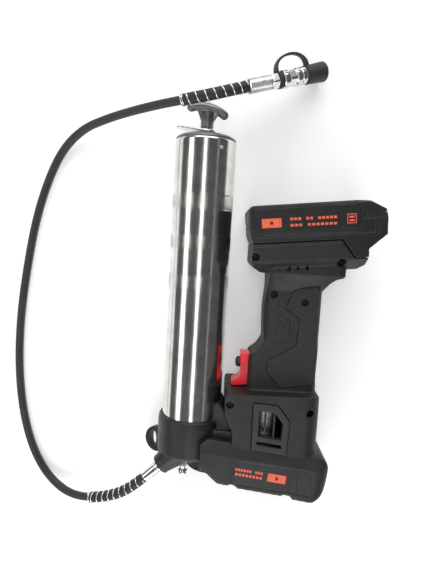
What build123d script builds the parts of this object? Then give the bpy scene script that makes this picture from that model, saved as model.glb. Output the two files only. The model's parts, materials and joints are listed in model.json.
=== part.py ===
from build123d import *
from math import acos, cos, pi, radians, sin, tan
import os

os.makedirs("parts", exist_ok=True)

# A cordless grease gun lying on its left side. Millimetres.
# +X points to the gun's back, +Y along the grease barrel to its handle end, +Z up, to the gun's
# right side. The origin is on the floor, under the middle of the gun without its free hose.
# Every sketch below is measured from the datum: x and y from the barrel's axis, height z from
# the gun's middle plane, where its two housing halves meet.

# ---- Driving dimensions -------------------------------------------------------------------
AXIS_X = -58.34
AXIS_Y = 9.255
MID_Z = 37.5

BARREL_R = 28.5
BARREL_WALL = 1.5
BARREL_FOOT = -141.0
BARREL_TOP = 137.0
COLLAR_R = 32.2
ROD_R = 3.95
ROD_BORE_R = 4.0

WALL = 3.0
GRIP_HALF = 19.5
GEAR_HALF = 34.0
BOX_HALF = 37.5
FOOT_HALF = 36.5
BATTERY_HALF = 37.5
BATTERY_LEAN = 6.2
BOX_LEAN = -6.6

PUMP_Y = -157.0
PISTON_R = 4.0
PISTON_STROKE = 8.0
CAM_THROW = PISTON_STROKE / 2

MOTOR_X = 72.6
IDLER_X = 51.0
CRANK_X = 22.5
FINE_MODULE = 0.8
PINION_TEETH = 9
IDLER_TEETH = 45
COARSE_MODULE = 1.5
IDLER_SMALL_TEETH = 10
CRANK_TEETH = 28

TRIGGER_HALF = 9.0
HOSE_R = 4.0
GUARD_R = 5.7
PORT_ANGLE = 43.0
FLOOR = -MID_Z

# ---- Planes -------------------------------------------------------------------------------
DATUM = Vector(AXIS_X, AXIS_Y, MID_Z)


def side(height=0.0):
    """The gun's middle plane, raised by height."""
    return Plane(origin=DATUM + Vector(0, 0, height), x_dir=(1, 0, 0), z_dir=(0, 0, 1))


def leaning(x, y, degrees, height=0.0):
    """A plane like side(), turned in itself about the point x, y."""
    direction = (cos(radians(degrees)), sin(radians(degrees)), 0)
    return Plane(origin=DATUM + Vector(x, y, height), x_dir=direction, z_dir=(0, 0, 1))


def along(y):
    """A plane square to the barrel: its own x is the datum's x, its own y is the datum's -z."""
    return Plane(origin=DATUM + Vector(0, y, 0), x_dir=(1, 0, 0), z_dir=(0, 1, 0))


def across(x, y=0.0, z=0.0):
    """A plane square to X: its own x is the datum's y, its own y is the datum's z."""
    return Plane(origin=DATUM + Vector(x, y, z), x_dir=(0, 1, 0), z_dir=(1, 0, 0))


BATTERY_FRAME = leaning(45.5, 45.0, BATTERY_LEAN)
BOX_FRAME = leaning(11.0, -143.0, BOX_LEAN)


# ---- Small builders, each used inside a sub-part's own block --------------------------------
def outline(plane, points, corner=0.0, inset=0.0):
    """A face bounded by the points, its corners rounded, then drawn in by inset."""
    with BuildSketch(plane) as face:
        with BuildLine():
            if corner:
                FilletPolyline(*points, radius=corner, close=True)
            else:
                Polyline(*points, close=True)
        make_face()
        if inset:
            offset(amount=-inset, mode=Mode.REPLACE)
    return face.sketch


def slab(plane, points, low, high, corner=0.0, inset=0.0, mode=Mode.ADD):
    """A slab with that outline, from height low to height high over the plane."""
    extrude(outline(plane.offset(low), points, corner, inset), amount=high - low, mode=mode)


def bar(y0, y1, radius, x=0.0, z=0.0, mode=Mode.ADD):
    """A round bar along the barrel's direction from y0 to y1."""
    with BuildSketch(along(y0)) as disc:
        with Locations((x, -z)):
            Circle(radius)
    extrude(disc.sketch, amount=y1 - y0, mode=mode)


def crossbar(x0, x1, radius, y=0.0, z=0.0, mode=Mode.ADD):
    """A round bar along X from x0 to x1."""
    with BuildSketch(across(x0)) as disc:
        with Locations((y, z)):
            Circle(radius)
    extrude(disc.sketch, amount=x1 - x0, mode=mode)


def peg(x, y, z0, z1, radius, mode=Mode.ADD):
    """A round bar square to the middle plane from z0 to z1."""
    with BuildSketch(side(z0)) as disc:
        with Locations((x, y)):
            Circle(radius)
    extrude(disc.sketch, amount=z1 - z0, mode=mode)


def block(x0, x1, y0, y1, z0, z1, mode=Mode.ADD):
    """A plain block between those limits."""
    slab(side(), [(x0, y0), (x1, y0), (x1, y1), (x0, y1)], z0, z1, mode=mode)


def turned(points, mode=Mode.ADD):
    """A piece turned about the barrel's axis. Each point is (radius, y)."""
    revolve(outline(side(), points), axis=Axis(DATUM, (0, 1, 0)), revolution_arc=360, mode=mode)


def clip(shape):
    """Keep only what lies inside the shape."""
    add(shape, mode=Mode.INTERSECT)


def cut(shape):
    """Take the shape away."""
    add(shape, mode=Mode.SUBTRACT)


# ---- Outlines of the plastic housing, in the middle plane -----------------------------------
GRIP = [(66, 34), (65.2, 7), (63, -14), (64, -32), (65, -46), (60, -54.5), (52.2, -59.5),
        (52.2, -100), (119, -100), (116.5, -76), (117.6, -44), (117.2, 2), (118.5, 8),
        (121.5, 13), (126.5, 16.8), (134, 18.5), (134, 30)]
GRIP_SECTION = [(63, -GRIP_HALF), (117.6, -GRIP_HALF), (117.6, GRIP_HALF), (63, GRIP_HALF)]
TRIGGER_SECTION = [(52.2, -GRIP_HALF), (119, -GRIP_HALF), (119, GRIP_HALF), (52.2, GRIP_HALF)]
TRIGGER_CORNERS = [8, 12, 12, 8]
FLARE_SECTION = [(60, -29), (138, -29), (138, 29), (60, 29)]
GEAR = [(31.7, -92.8), (31.8, -112), (39.8, -129), (41, -160), (121, -168), (120.5, -135),
        (121, -114), (119.5, -92)]
GEAR_SECTION = [(29, -GEAR_HALF), (121, -GEAR_HALF), (121, GEAR_HALF), (29, GEAR_HALF)]
BOX = [(6, 6.3), (0, 1), (2.5, -19.3), (21.5, -32.5), (31.5, -32.8), (33.5, -31.2),
       (38, -31.4), (41, -33.8), (82, -34), (84, -32.4), (90, -32.6), (93, -35.6),
       (112, -36), (121.5, -29), (124, -16), (123, -2), (117, 6.5)]
BOX_CORNERS = [1.2] * 12 + [11, 13, 36, 17, 7]
BOX_SECTION = [(0, -BOX_HALF), (125, -BOX_HALF), (125, BOX_HALF), (0, BOX_HALF)]
BOX_BEVEL = [(-40, -BOX_HALF), (-4, -BOX_HALF), (7, 6 - BOX_HALF), (7, BOX_HALF - 6),
             (-4, BOX_HALF), (-40, BOX_HALF)]
FOOT = [(2.2, -0.4), (0.2, -18), (1.6, -21.5), (8, -26.6), (16, -28), (97, -28), (103, -24),
        (103.4, -17.1), (91.4, -17.1), (80.4, -0.4)]
FOOT_SECTION = [(2, -FOOT_HALF), (-18, -FOOT_HALF), (-28, -20), (-30, -20), (-30, 20),
                (-28, 20), (-18, FOOT_HALF), (2, FOOT_HALF)]
FOOT_LENGTH = 110.0
BATTERY = [(0.4, 7), (0, 29.4), (1, 31.6), (3.5, 32.6), (94.5, 33.4), (105.4, 32.4), (119.2, 24.6),
           (120.4, 17.7), (119.7, 2.6), (103.2, -9.5), (103, -16.8), (91.6, -16.8), (80.6, 0),
           (2.2, 0)]
TONGUE = [(14, 0.2), (14, -12), (92, -12), (92, 0.2)]
TONGUE_FLOOR = [(14, 2.5), (14, -0.2), (92, -0.2), (92, 2.5)]
TONGUE_HALF = 20.0
VENT = [(57.8, -99.8), (80.6, -100.8), (92.2, -115.4), (91, -147.6), (58.4, -143.8)]
VENT_WINDOW = [(63.9, -106.5), (78.2, -107.6), (86.2, -118), (85.4, -133.4), (64, -131)]
VENT_SLOT = [(63, -135.4), (86, -138.2), (86, -141.6), (63, -138.8)]
LABEL = [(35.5, -29.6), (33.8, -23.6), (37.6, -10.6), (42, -7.6), (104.4, -6.3), (107.6, -9.6),
         (109, -28.6)]
OVERMOLD = [(112.5, 10.6), (94.5, 6.6), (88.6, 3), (83, -12.2), (97, -21.4), (95.8, -46.4),
            (84.6, -54.4), (69, -63.6), (69.6, -74.2), (83.4, -89.4), (113, -84)]
SCREWS = [(36.6, -103, GEAR_HALF - 2.5), (110.6, -107.4, 16.0), (71.4, -0.5, GRIP_HALF - 2),
          (100.6, -6.3, GRIP_HALF - 2), (50.6, 33.6, FOOT_HALF - 2.5),
          (127.6, 33.2, FOOT_HALF - 9)]


def rounded(plane, points, corner, inset=0.0):
    """A face like outline(), where corner may be a list with one radius for each point."""
    with BuildSketch(plane) as face:
        with BuildLine():
            FilletPolyline(*points, radius=corner, close=True)
        make_face()
        if inset:
            offset(amount=-inset, mode=Mode.REPLACE)
    return face.sketch


def grip_shape(inset=0.0):
    """The handle: its outline, round at the edges, and flared into the foot."""
    with BuildPart() as envelope:
        stations = [(-100, TRIGGER_SECTION, TRIGGER_CORNERS), (-58, TRIGGER_SECTION, TRIGGER_CORNERS),
                    (-42, GRIP_SECTION, 12), (4, GRIP_SECTION, 12), (20, FLARE_SECTION, 12),
                    (36, FLARE_SECTION, 12)]
        for (y0, section, corners), (y1, next_section, next_corners) in zip(stations, stations[1:]):
            loft([rounded(along(y0), section, corners, inset),
                  rounded(along(y1), next_section, next_corners, inset)], ruled=True)
    with BuildPart() as grip:
        slab(side(), GRIP, -GRIP_HALF - 12, GRIP_HALF + 12, inset=inset)
        clip(envelope.part)
    return grip.part


def gear_shape(inset=0.0):
    """The gear and motor housing, rounded at its back."""
    with BuildPart() as gear:
        slab(side(), GEAR, -GEAR_HALF, GEAR_HALF, corner=2.5, inset=inset)
        end = rounded(along(-170), GEAR_SECTION, [5, 16, 16, 5], inset)
        extrude(end, amount=90, mode=Mode.INTERSECT)
    return gear.part


def box_shape(inset=0.0):
    """The widest part of the housing, over the gears, bevelled towards the motor."""
    with BuildPart() as box:
        slab(BOX_FRAME, BOX, -BOX_HALF, BOX_HALF, corner=BOX_CORNERS, inset=inset)
        end_plane = Plane(origin=BOX_FRAME.origin - 60 * BOX_FRAME.y_dir,
                          x_dir=BOX_FRAME.x_dir, z_dir=BOX_FRAME.y_dir)
        end = rounded(end_plane, BOX_SECTION, [3, 17, 17, 3], inset)
        extrude(end, amount=90, mode=Mode.INTERSECT)
        bevel_plane = Plane(origin=BOX_FRAME.origin, x_dir=BOX_FRAME.y_dir,
                            z_dir=BOX_FRAME.x_dir)
        slab(bevel_plane, BOX_BEVEL, -5, 130, inset=inset, mode=Mode.INTERSECT)
    return box.part


def foot_shape(inset=0.0):
    """The foot that the battery slides into, bevelled towards the handle."""
    with BuildPart() as foot:
        slab(BATTERY_FRAME, FOOT, -FOOT_HALF, FOOT_HALF, inset=inset)
        bevel_plane = Plane(origin=BATTERY_FRAME.origin, x_dir=BATTERY_FRAME.y_dir,
                            z_dir=BATTERY_FRAME.x_dir)
        slab(bevel_plane, FOOT_SECTION, -5, FOOT_LENGTH, inset=inset, mode=Mode.INTERSECT)
    return foot.part


def involute_gear(plane, teeth, module, thickness, bore, turn=0.0, mode=Mode.ADD):
    """A spur gear with 25 degree involute teeth, a little thin so that it runs freely."""
    pressure = radians(25)
    pitch_r = teeth * module / 2
    base_r = pitch_r * cos(pressure)
    tip_r = pitch_r + 0.8 * module
    root_r = pitch_r - module
    half_tooth = pi / (2 * teeth) - 0.05 / teeth * 2

    def flank(radius):
        """Half the tooth's angle at a radius."""
        if radius <= base_r:
            radius = base_r
        angle = acos(base_r / radius)
        return half_tooth + (tan(pressure) - pressure) - (tan(angle) - angle)

    start_r = max(base_r, root_r)
    steps = [start_r + (tip_r - start_r) * i / 3 for i in range(4)]
    radii = ([root_r] if root_r < base_r else []) + steps
    points = []
    for tooth in range(teeth):
        middle = 2 * pi * tooth / teeth + radians(turn)
        rising = [(radius, middle - flank(radius)) for radius in radii]
        falling = [(radius, middle + flank(radius)) for radius in reversed(radii)]
        points += [(radius * cos(a), radius * sin(a)) for radius, a in rising + falling]
    with BuildSketch(plane) as face:
        with BuildLine():
            Polyline(*points, close=True)
        make_face()
        if bore:
            Circle(bore, mode=Mode.SUBTRACT)
    extrude(face.sketch, amount=thickness, mode=mode)


def gear_plane(x, y):
    """A plane at the foot of a gear whose axle lies along Y."""
    return Plane(origin=DATUM + Vector(x, y, 0), x_dir=(1, 0, 0), z_dir=(0, 1, 0))


def send(piece, name):
    """Label a finished piece and write it."""
    piece.part.label = name
    export_step(piece.part, f"parts/{name}.step")
    print(f"{name}: {len(piece.part.solids())} solid(s), {piece.part.volume:.0f} mm3")


# ---- Pump head, cast, which holds the barrel, the pump, the crank and the hose port ----------
PORT = Vector(-28.5, -181.0, 0)
PORT_DIRECTION = Vector(-cos(radians(PORT_ANGLE)), -sin(radians(PORT_ANGLE)), 0)


def port_plane(distance):
    """A plane square to the hose port, that far out from the port's face."""
    return Plane(origin=DATUM + PORT + PORT_DIRECTION * distance, z_dir=PORT_DIRECTION)


def port_bar(start, end, radius, mode=Mode.ADD):
    """A round bar along the hose port's axis."""
    with BuildSketch(port_plane(start)) as disc:
        Circle(radius)
    extrude(disc.sketch, amount=end - start, mode=mode)


NECK = [(26, -107), (30.5, -110), (39.4, -129), (40.6, -150), (14, -150), (14, -112)]
HEAD_PROFILE = [(0, -124), (30.6, -124), (31.8, -126), (COLLAR_R, -132), (COLLAR_R, -160),
                (6, -173.5), (0, -174.5)]
PORT_R = 10.2
PORT_ROOT_R = 15.0
PORT_ROOT = 26.0
CHAMBER_R = 25.0
NIPPLE_X = -5.5
NIPPLE_BOSS_END = -175.6
BALL_X = -19.0
CASE_R = 25.0
CASE_FOOT = -172.5

with BuildPart() as pump_head:
    turned(HEAD_PROFILE)
    slab(side(), NECK, -20, 20, corner=1.5)
    block(11, 46, CASE_FOOT, -132, -24, 24)
    bar(CASE_FOOT, -142, CASE_R, x=CRANK_X)
    port_bar(-PORT_ROOT, 0, PORT_R)
    with BuildSketch(port_plane(-PORT_ROOT)) as port_root:
        Circle(PORT_ROOT_R)
    with BuildSketch(port_plane(-4)) as port_neck:
        Circle(PORT_R + 0.2)
    loft([port_root.sketch, port_neck.sketch])
    bar(NIPPLE_BOSS_END, -165, 6.0, x=NIPPLE_X)
    bar(-141.0, -100, BARREL_R + 0.05, mode=Mode.SUBTRACT)
    bar(-149.0, -141.0, CHAMBER_R, mode=Mode.SUBTRACT)
    crossbar(-14, 30, PISTON_R + 0.05, y=PUMP_Y, mode=Mode.SUBTRACT)
    crossbar(-2, 30, 5.4, y=PUMP_Y, mode=Mode.SUBTRACT)
    crossbar(-24, -16, 3.6, y=PUMP_Y, mode=Mode.SUBTRACT)
    crossbar(-17, -13, 1.6, y=PUMP_Y, mode=Mode.SUBTRACT)
    bar(PUMP_Y, -148, 2.5, x=-8, mode=Mode.SUBTRACT)
    bar(-178, PUMP_Y, 1.5, x=NIPPLE_X, mode=Mode.SUBTRACT)
    port_bar(-34, 1, 2.0, mode=Mode.SUBTRACT)
    bar(-163, -152.5, 12, x=CRANK_X, mode=Mode.SUBTRACT)
    bar(-172.6, -162.2, 22.8, x=CRANK_X, mode=Mode.SUBTRACT)
    bar(-169.0, -161.8, 9.6, x=IDLER_X, mode=Mode.SUBTRACT)
    bar(-180, -168.9, 19.6, x=IDLER_X, mode=Mode.SUBTRACT)
send(pump_head, "pump_head")

LOOP_TILT = 28.0
LOOP_Y = -161.5
LOOP_PLANE = Plane(origin=DATUM + Vector(0, LOOP_Y, 0),
                   x_dir=(-cos(radians(LOOP_TILT)), 0, -sin(radians(LOOP_TILT))),
                   z_dir=(sin(radians(LOOP_TILT)), 0, -cos(radians(LOOP_TILT))))
LOOP_HALF = 3.5

with BuildPart() as strap_loop:
    with BuildSketch(LOOP_PLANE.offset(-LOOP_HALF)) as ring:
        with Locations((39, 0)):
            Circle(13)
        with Locations((42.2, 0)):
            Ellipse(3.9, 8.6, mode=Mode.SUBTRACT)
    extrude(ring.sketch, amount=2 * LOOP_HALF)
    cut(pump_head.part)
send(strap_loop, "strap_loop")

with BuildPart() as loader_nipple:
    with BuildSketch(along(-179.5)) as hexagon:
        with Locations((NIPPLE_X, 0)):
            RegularPolygon(radius=5.2, side_count=6)
    extrude(hexagon.sketch, amount=NIPPLE_BOSS_END + 179.5)
    bar(-183.5, -179.5, 3.6, x=NIPPLE_X)
    bar(-189.5, -183.5, 4.75, x=NIPPLE_X)
    bar(-190, -175, 1.2, x=NIPPLE_X, mode=Mode.SUBTRACT)
    cut(pump_head.part)
send(loader_nipple, "loader_nipple")

with BuildPart() as barrel_gasket:
    bar(-140.95, -139.0, 26.9)
    bar(-141, -138.9, 24.6, mode=Mode.SUBTRACT)
send(barrel_gasket, "barrel_gasket")

with BuildPart() as check_ball:
    with Locations(side() * Location((BALL_X, PUMP_Y, 0))):
        Sphere(2.4)
send(check_ball, "check_ball")

with BuildPart() as check_spring:
    crossbar(-23.9, BALL_X - 2.5, 2.6, y=PUMP_Y)
    crossbar(-24, BALL_X - 2, 1.8, y=PUMP_Y, mode=Mode.SUBTRACT)
send(check_spring, "check_spring")

with BuildPart() as pump_piston:
    crossbar(-13, 8, PISTON_R, y=PUMP_Y)
    crossbar(8, 12.2, 5.1, y=PUMP_Y)
send(pump_piston, "pump_piston")

with BuildPart() as piston_spring:
    crossbar(-1.9, 7.9, 5.1, y=PUMP_Y)
    crossbar(-2, 8, 4.3, y=PUMP_Y, mode=Mode.SUBTRACT)
send(piston_spring, "piston_spring")

# ---- Crank, idler and motor ------------------------------------------------------------------
with BuildPart() as crank_gear:
    involute_gear(gear_plane(CRANK_X, -167.5), CRANK_TEETH, COARSE_MODULE, 5.0, 0)
    bar(-163, -154, 3.0, x=CRANK_X + CAM_THROW)
    bar(-172.4, -167.5, 4.0, x=CRANK_X)
send(crank_gear, "crank_gear")

with BuildPart() as cam_roller:
    bar(-161.8, -154.3, 5.9, x=CRANK_X + CAM_THROW)
    bar(-162, -154, 3.03, x=CRANK_X + CAM_THROW, mode=Mode.SUBTRACT)
send(cam_roller, "cam_roller")

with BuildPart() as crank_bush:
    bar(-172.4, -168.2, 6.0, x=CRANK_X)
    bar(-173, -168, 4.04, x=CRANK_X, mode=Mode.SUBTRACT)
send(crank_bush, "crank_bush")

with BuildPart() as gearcase_cover:
    bar(-174.4, CASE_FOOT, CASE_R, x=CRANK_X)
    bar(-172.5, -168.2, 8.2, x=CRANK_X)
    bar(-172.5, -168, 6.0, x=CRANK_X, mode=Mode.SUBTRACT)
    bar(-180, -165, 19.6, x=IDLER_X, mode=Mode.SUBTRACT)
    cut(pump_head.part)
send(gearcase_cover, "gearcase_cover")

with BuildPart() as gearbox_plate:
    block(48, 112, -155, -151.5, -24, 24)
    bar(-156, -150, 5.0, x=MOTOR_X, mode=Mode.SUBTRACT)
    bar(-156, -150, 2.5, x=IDLER_X, mode=Mode.SUBTRACT)
send(gearbox_plate, "gearbox_plate")

with BuildPart() as idler_gear:
    involute_gear(gear_plane(IDLER_X, -174.5), IDLER_TEETH, FINE_MODULE, 5.0, 2.55)
    bar(-169.5, -168.4, 4.5, x=IDLER_X)
    involute_gear(gear_plane(IDLER_X, -168.4), IDLER_SMALL_TEETH, COARSE_MODULE, 6.2, 2.55,
                  turn=180 / IDLER_SMALL_TEETH)
    bar(-175, -160, 2.55, x=IDLER_X, mode=Mode.SUBTRACT)
send(idler_gear, "idler_gear")

with BuildPart() as idler_pin:
    bar(-175.8, -151.5, 2.5, x=IDLER_X)
    bar(-176.4, -175.0, 3.4, x=IDLER_X)
send(idler_pin, "idler_pin")

with BuildPart() as motor_can:
    bar(-150, -98, 18.5, x=MOTOR_X)
    bar(-148.5, -97, 17.0, x=MOTOR_X, mode=Mode.SUBTRACT)
    bar(-151, -148, 4.0, x=MOTOR_X, mode=Mode.SUBTRACT)
send(motor_can, "motor_can")

with BuildPart() as motor_magnets:
    bar(-142, -108, 17.0, x=MOTOR_X)
    bar(-143, -107, 14.6, x=MOTOR_X, mode=Mode.SUBTRACT)
    block(40, 110, -143, -107, -4, 4, mode=Mode.SUBTRACT)
send(motor_magnets, "motor_magnets")

with BuildPart() as motor_end_cap:
    bar(-98, -96, 18.5, x=MOTOR_X)
    bar(-99, -94, 4.0, x=MOTOR_X, mode=Mode.SUBTRACT)
send(motor_end_cap, "motor_end_cap")

with BuildPart() as motor_bushes:
    bar(-150, -147.4, 4.0, x=MOTOR_X)
    bar(-98, -96, 4.0, x=MOTOR_X)
    bar(-151, -94, 1.63, x=MOTOR_X, mode=Mode.SUBTRACT)
send(motor_bushes, "motor_bushes")

with BuildPart() as motor_armature:
    bar(-175.2, -95.5, 1.6, x=MOTOR_X)
    bar(-141, -109, 13.8, x=MOTOR_X)
    bar(-107, -100, 5.0, x=MOTOR_X)
send(motor_armature, "motor_armature")

with BuildPart() as motor_pinion:
    involute_gear(gear_plane(MOTOR_X, -175), PINION_TEETH, FINE_MODULE, 5.8, 1.6,
                  turn=180 / PINION_TEETH + 180)
send(motor_pinion, "motor_pinion")

# ---- Barrel, cap, follower and rod -----------------------------------------------------------
CAP_DOME = [(0, 118), (26.95, 118), (26.95, 137), (28.3, 137), (27.8, 138.8), (24.5, 140.8),
            (13, 143.2), (9.4, 144.8), (0, 144.8)]
RIVET_Y = 128.0
RIVET_R = 1.6
RIVET_ANGLES = [58, 178, 298]


def rivet_plane(angle, distance=0.0):
    """A plane square to the barrel's radius at that angle, at that distance from its axis."""
    direction = (cos(radians(angle)), 0, sin(radians(angle)))
    return Plane(origin=DATUM + Vector(0, RIVET_Y, 0), z_dir=direction).offset(distance)


with BuildPart() as barrel_tube:
    bar(BARREL_FOOT + 0.05, BARREL_TOP, BARREL_R)
    bar(BARREL_FOOT, BARREL_TOP + 1, BARREL_R - BARREL_WALL, mode=Mode.SUBTRACT)
    for angle in RIVET_ANGLES:
        with BuildSketch(rivet_plane(angle)) as hole:
            Circle(RIVET_R)
        extrude(hole.sketch, amount=40, mode=Mode.SUBTRACT)
send(barrel_tube, "barrel_tube")

with BuildPart() as barrel_cap:
    turned(CAP_DOME)
    bar(117, 135, 25.4, mode=Mode.SUBTRACT)
    bar(117, 150, ROD_BORE_R, mode=Mode.SUBTRACT)
send(barrel_cap, "barrel_cap")

with BuildPart() as cap_rivets:
    for angle in RIVET_ANGLES:
        with BuildSketch(rivet_plane(angle, BARREL_R - BARREL_WALL)) as shank:
            Circle(RIVET_R)
        extrude(shank.sketch, amount=1.9)
send(cap_rivets, "cap_rivets")

LATCH_LEAN = -4.0
LATCH_PLANE = leaning(0, 145.6, LATCH_LEAN)
with BuildPart() as latch_plate:
    with BuildSketch(Plane(origin=LATCH_PLANE.origin, x_dir=LATCH_PLANE.x_dir,
                           z_dir=LATCH_PLANE.y_dir)) as lever:
        with Locations((-10, 0)):
            SlotOverall(38, 15)
        Circle(4.7, mode=Mode.SUBTRACT)
    extrude(lever.sketch, amount=1.5)
send(latch_plate, "latch_plate")

with BuildPart() as follower_rod:
    bar(-124, 163, ROD_R)
send(follower_rod, "follower_rod")

HANDLE_R = 4.0
HUB_R = 6.0
HUB_FOOT = 149.0
HANDLE_WEB = [(-HUB_R, 156), (HUB_R, 155), (10.5, 163), (-10.5, 167)]
with BuildPart() as t_handle:
    bar(HUB_FOOT, 164, HUB_R)
    slab(side(), HANDLE_WEB, -3, 3)
    with BuildLine(side()) as wing:
        ThreePointArc((-15.5, 167.3), (-1, 168.4), (15.5, 161.5))
    with BuildSketch(Plane(origin=wing.line @ 0, z_dir=wing.line % 0)) as round_bar:
        Circle(HANDLE_R)
    sweep(round_bar.sketch, path=wing.line)
    for end in (wing.line @ 0, wing.line @ 1):
        with Locations(end):
            Sphere(HANDLE_R)
    bar(140, 163, ROD_R, mode=Mode.SUBTRACT)
send(t_handle, "t_handle")

with BuildPart() as follower_cup:
    turned([(0, -121), (20, -121), (26.9, -117), (26.9, -100), (24.9, -100), (24.9, -114),
            (0, -114)])
    bar(-122, -110, ROD_R, mode=Mode.SUBTRACT)
send(follower_cup, "follower_cup")

with BuildPart() as follower_nut:
    bar(-114, -110, 8.0)
    bar(-115, -109, ROD_R, mode=Mode.SUBTRACT)
send(follower_nut, "follower_nut")

with BuildPart() as follower_spring:
    bar(-113.9, 117.9, 20.0)
    bar(-115, 119, 19.6, mode=Mode.SUBTRACT)
send(follower_spring, "follower_spring")

# ---- Trigger group ---------------------------------------------------------------------------
TRIGGER = [(44.6, -60), (58, -60), (58, -90.2), (53.9, -90.2), (37, -92.2), (37.6, -88),
           (44.4, -83.4), (45.6, -80.4)]
BUTTON_Y = -71.0
BUTTON_Z = -3.0
BUTTON_R = 5.2
BUTTON_FACE = 40.6

with BuildPart() as trigger:
    slab(side(), TRIGGER, -TRIGGER_HALF, TRIGGER_HALF)
    fillet(trigger.edges().filter_by(Axis.Z).sort_by(Axis.X)[0:3], 0.8)
    block(56.6, 60, -88, -62, -11.5, 11.5)
    crossbar(40, 54, BUTTON_R + 0.3, y=BUTTON_Y, z=BUTTON_Z, mode=Mode.SUBTRACT)
send(trigger, "trigger")

with BuildPart() as safety_button:
    crossbar(BUTTON_FACE, 49.3, BUTTON_R, y=BUTTON_Y, z=BUTTON_Z)
    fillet(safety_button.faces().sort_by(Axis.X)[0].edges(), 3)
send(safety_button, "safety_button")

with BuildPart() as trigger_spring:
    crossbar(60.1, 68.9, 4.0, y=-70)
    crossbar(60, 69, 3.0, y=-70, mode=Mode.SUBTRACT)
send(trigger_spring, "trigger_spring")

with BuildPart() as trigger_switch:
    block(69, 92, -89, -60, -8, 8)
    crossbar(66.4, 69, 2.5, y=-83)
send(trigger_switch, "trigger_switch")

with BuildPart() as control_board:
    block(78, 94, -46, -14, 4, 5.6)
    block(80, 90, -42, -30, 5.6, 10)
send(control_board, "control_board")

# ---- Battery ---------------------------------------------------------------------------------
CASE_WALL = 2.5
CASE_SPLIT = [(-5, 18), (5, 18), (11, 9.5), (93, 9.5), (101, 22), (130, 22), (130, -30),
              (-5, -30)]
LATCH_REST = [(96.2, -19.6), (100.8, -19.6), (100.8, -12), (104.6, -9.2), (107, -10.2),
              (117.6, -0.8), (115.6, 2), (96.2, 2)]
LATCH_HALF = 9.0
LATCH_ROOM = [(95.7, -20), (101.3, -20), (101.3, -12.3), (104.6, -9.7), (107, -10.8),
              (118.2, -0.8), (118.2, 6.8), (95.7, 6.8)]
CELL_COUNT = 5
CELL_PITCH = 18.9
CELL_FIRST = 14.0


def battery_shape(inset=0.0):
    """The battery's outside, with rounded long edges."""
    with BuildPart() as pack:
        slab(BATTERY_FRAME, BATTERY, -BATTERY_HALF, BATTERY_HALF, inset=inset)
        bevel_plane = Plane(origin=BATTERY_FRAME.origin, x_dir=BATTERY_FRAME.y_dir,
                            z_dir=BATTERY_FRAME.x_dir)
        section = [(-20, -BATTERY_HALF), (33.6, -BATTERY_HALF), (33.6, BATTERY_HALF),
                   (-20, BATTERY_HALF)]
        extrude(rounded(bevel_plane.offset(-5), section, 3.5, inset), amount=140,
                mode=Mode.INTERSECT)
    return pack.part


battery_outside = battery_shape()
battery_inside = battery_shape(CASE_WALL)

with BuildPart() as battery_case:
    add(battery_outside)
    cut(battery_inside)
    slab(BATTERY_FRAME, TONGUE, -TONGUE_HALF, TONGUE_HALF)
    slab(BATTERY_FRAME, TONGUE_FLOOR, -TONGUE_HALF, TONGUE_HALF)
    for z in (-10, 0, 10):
        slab(BATTERY_FRAME, [(13, -9), (28, -9), (28, -3.4), (13, -3.4)], z - 1.2, z + 1.2,
             mode=Mode.SUBTRACT)
    slab(BATTERY_FRAME, LATCH_ROOM, -LATCH_HALF - 0.3, LATCH_HALF + 0.3, mode=Mode.SUBTRACT)

with BuildPart() as battery_base:
    add(battery_case.part)
    slab(BATTERY_FRAME, CASE_SPLIT, -50, 50, mode=Mode.INTERSECT)
send(battery_base, "battery_base")

with BuildPart() as battery_cover:
    add(battery_case.part)
    slab(BATTERY_FRAME, CASE_SPLIT, -50, 50, mode=Mode.SUBTRACT)
send(battery_cover, "battery_cover")

with BuildPart() as battery_latch:
    slab(BATTERY_FRAME, LATCH_REST, -LATCH_HALF, LATCH_HALF)
    slab(BATTERY_FRAME, [(90, -25), (102.4, -25), (102.4, -7), (90, -7)], 6, 12,
         mode=Mode.SUBTRACT)
    slab(BATTERY_FRAME, [(90, -25), (102.4, -25), (102.4, -7), (90, -7)], -12, -6,
         mode=Mode.SUBTRACT)
send(battery_latch, "battery_latch")

with BuildPart() as latch_spring:
    with BuildSketch(Plane(origin=BATTERY_FRAME.origin + BATTERY_FRAME.x_dir * 106
                           + BATTERY_FRAME.y_dir * 2.1, z_dir=BATTERY_FRAME.y_dir)) as coil:
        Circle(3)
        Circle(2.2, mode=Mode.SUBTRACT)
    extrude(coil.sketch, amount=12)
send(latch_spring, "latch_spring")

with BuildPart() as battery_cells:
    for number in range(CELL_COUNT):
        centre = (CELL_FIRST + CELL_PITCH * number, 18.6)
        with BuildSketch(BATTERY_FRAME.offset(-32.5)) as cell:
            with Locations(centre):
                Circle(9.15)
        extrude(cell.sketch, amount=65)
send(battery_cells, "battery_cells")

with BuildPart() as terminal_block:
    slab(BATTERY_FRAME, [(9.2, -12), (12.2, -12), (12.2, -3.6), (9.2, -3.6)], -16, 16)
send(terminal_block, "terminal_block")

with BuildPart() as terminal_blades:
    for z in (-10, 0, 10):
        slab(BATTERY_FRAME, [(12.2, -8.5), (24, -8.5), (24, -3.9), (12.2, -3.9)], z - 0.4, z + 0.4)
send(terminal_blades, "terminal_blades")

# ---- Housing halves --------------------------------------------------------------------------
with BuildPart() as outside:
    add(grip_shape())
    add(gear_shape())
    add(box_shape())
    add(foot_shape())

with BuildPart() as inside:
    add(grip_shape(WALL))
    add(gear_shape(WALL))
    add(box_shape(WALL))
    add(foot_shape(WALL))
    block(66, 112, -100, -80, -16, 16)
    block(44, 112, -160, -140, -28, 28)
    slab(BATTERY_FRAME, [(28, -40), (70, -40), (70, -20), (28, -20)], -16, 16)

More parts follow.
